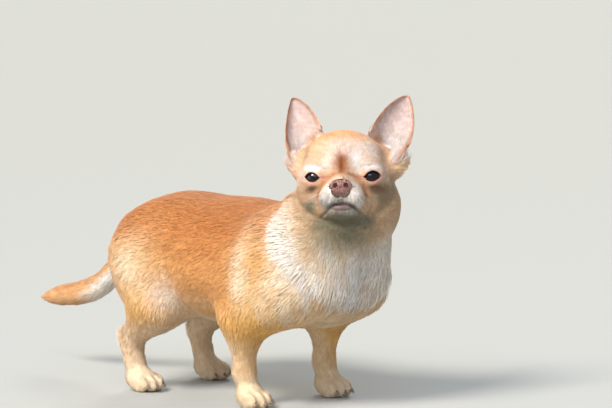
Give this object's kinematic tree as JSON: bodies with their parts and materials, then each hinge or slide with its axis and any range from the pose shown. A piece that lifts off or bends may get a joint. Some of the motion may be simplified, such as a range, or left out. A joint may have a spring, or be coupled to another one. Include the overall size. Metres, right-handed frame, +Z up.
{
  "type": "chihuahua",
  "caption": "Stout smooth-coated fawn chihuahua standing on four paws, with its head turned to its right and raised, ears up and tail out low behind.",
  "frame": {"origin": "on the floor, below the middle of the bounding box", "axes": "+X towards the dog's chest, +Y to its left, +Z up"},
  "size_m": [0.3988, 0.1384, 0.252],
  "materials": {
    "coat_fawn": "short fur",
    "coat_cream": "short fur",
    "nose_leather": "moist",
    "eye": "wet gloss",
    "claw": "horn"
  },
  "bodies": {
    "root": {"ear_left": "coat_cream", "ear_right": "coat_cream", "eye_left": "eye", "eye_right": "eye", "foreclaw_left_1": "claw", "foreclaw_left_2": "claw", "foreclaw_left_3": "claw", "foreclaw_left_4": "claw", "foreclaw_right_1": "claw", "foreclaw_right_2": "claw", "foreclaw_right_3": "claw", "foreclaw_right_4": "claw", "foreleg_left": "coat_fawn", "foreleg_right": "coat_fawn", "forepaw_left": "coat_cream", "forepaw_right": "coat_cream", "head": "coat_fawn", "hindclaw_left_1": "claw", "hindclaw_left_2": "claw", "hindclaw_left_3": "claw", "hindclaw_left_4": "claw", "hindclaw_right_1": "claw", "hindclaw_right_2": "claw", "hindclaw_right_3": "claw", "hindclaw_right_4": "claw", "hindleg_left": "coat_fawn", "hindleg_right": "coat_fawn", "hindpaw_left": "coat_cream", "hindpaw_right": "coat_cream", "neck": "coat_fawn", "nose": "nose_leather", "tail": "coat_fawn", "torso": "coat_fawn"}
  },
  "joints": []
}
